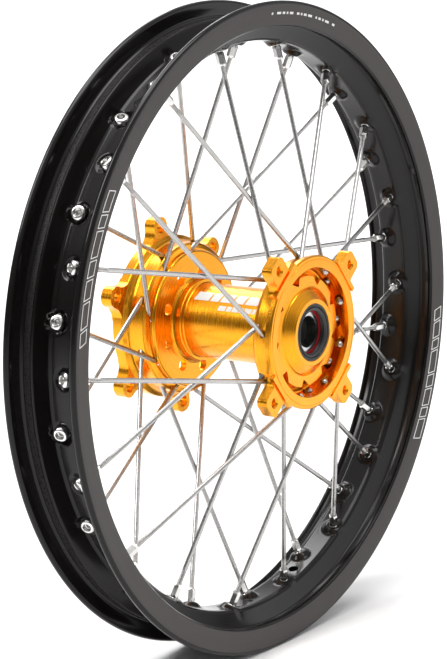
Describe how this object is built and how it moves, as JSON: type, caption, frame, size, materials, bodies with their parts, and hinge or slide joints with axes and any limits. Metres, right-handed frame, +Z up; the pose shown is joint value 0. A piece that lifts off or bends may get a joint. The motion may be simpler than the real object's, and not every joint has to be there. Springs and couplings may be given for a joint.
{
  "type": "spoked motorcycle wheel",
  "caption": "Off-road motorcycle rear wheel: black alloy rim laced with crossed steel spokes to a gold machined hub with sealed ball bearings and flanges for a brake disc and a sprocket.",
  "frame": {"origin": "centre of the wheel: on the axle's axis, in the mid-plane of the rim", "axes": "+Y along the axle towards the sprocket side, -Y towards the brake disc side, +Z up"},
  "size_m": [0.512, 0.1505, 0.512],
  "materials": {
    "black_anodised": "gloss black anodised, satin on the side faces",
    "gold_anodised": "gold anodised, machined",
    "stainless_steel": "drawn and polished",
    "nickel_plate": "bright nickel plate",
    "dark_steel": "turned steel",
    "bearing_steel": "ground bearing steel",
    "cage_brass": "stamped brass",
    "seal_rubber": "moulded nitrile rubber",
    "shield_red": "red rubber contact shield"
  },
  "bodies": {
    "axle_set": {"spacer_tube": "dark_steel", "bearing_disc_side_inner_race": "bearing_steel", "bearing_sprocket_side_inner_race": "bearing_steel"},
    "wheel": {"rim": "black_anodised", "hub_shell": "gold_anodised", "retaining_ring": "dark_steel", "spoke_disc_side_01": "stainless_steel", "spoke_disc_side_02": "stainless_steel", "spoke_disc_side_03": "stainless_steel", "spoke_disc_side_04": "stainless_steel", "spoke_disc_side_05": "stainless_steel", "spoke_disc_side_06": "stainless_steel", "spoke_disc_side_07": "stainless_steel", "spoke_disc_side_08": "stainless_steel", "spoke_disc_side_09": "stainless_steel", "spoke_disc_side_10": "stainless_steel", "spoke_disc_side_11": "stainless_steel", "spoke_disc_side_12": "stainless_steel", "spoke_disc_side_13": "stainless_steel", "spoke_disc_side_14": "stainless_steel", "spoke_disc_side_15": "stainless_steel", "spoke_disc_side_16": "stainless_steel", "spoke_disc_side_17": "stainless_steel", "spoke_disc_side_18": "stainless_steel", "spoke_sprocket_side_01": "stainless_steel", "spoke_sprocket_side_02": "stainless_steel", "spoke_sprocket_side_03": "stainless_steel", "spoke_sprocket_side_04": "stainless_steel", "spoke_sprocket_side_05": "stainless_steel", "spoke_sprocket_side_06": "stainless_steel", "spoke_sprocket_side_07": "stainless_steel", "spoke_sprocket_side_08": "stainless_steel", "spoke_sprocket_side_09": "stainless_steel", "spoke_sprocket_side_10": "stainless_steel", "spoke_sprocket_side_11": "stainless_steel", "spoke_sprocket_side_12": "stainless_steel", "spoke_sprocket_side_13": "stainless_steel", "spoke_sprocket_side_14": "stainless_steel", "spoke_sprocket_side_15": "stainless_steel", "spoke_sprocket_side_16": "stainless_steel", "spoke_sprocket_side_17": "stainless_steel", "spoke_sprocket_side_18": "stainless_steel", "nipples_disc_side": "nickel_plate", "nipples_sprocket_side": "nickel_plate", "oil_seal_disc_side": "seal_rubber", "oil_seal_sprocket_side": "seal_rubber", "bearing_disc_side_outer_race": "bearing_steel", "bearing_sprocket_side_outer_race": "bearing_steel", "bearing_disc_side_shields": "shield_red", "bearing_sprocket_side_shields": "shield_red"},
    "ball_set_disc_side": {"bearing_disc_side_balls": "bearing_steel", "bearing_disc_side_cage": "cage_brass"},
    "ball_set_sprocket_side": {"bearing_sprocket_side_balls": "bearing_steel", "bearing_sprocket_side_cage": "cage_brass"}
  },
  "joints": [
    {"name": "wheel_spin", "type": "hinge", "parent": "axle_set", "child": "wheel", "pos_m": [0, 0, 0], "axis": [0, 1, 0], "continuous": true},
    {"name": "ball_set_disc_side_spin", "type": "hinge", "parent": "axle_set", "child": "ball_set_disc_side", "pos_m": [0, 0, 0], "axis": [0, 1, 0], "continuous": true},
    {"name": "ball_set_sprocket_side_spin", "type": "hinge", "parent": "axle_set", "child": "ball_set_sprocket_side", "pos_m": [0, 0, 0], "axis": [0, 1, 0], "continuous": true}
  ],
  "couplings": [
    {"joint": "ball_set_disc_side_spin", "follows": "wheel_spin", "ratio": 0.56866},
    {"joint": "ball_set_sprocket_side_spin", "follows": "wheel_spin", "ratio": 0.56866}
  ]
}
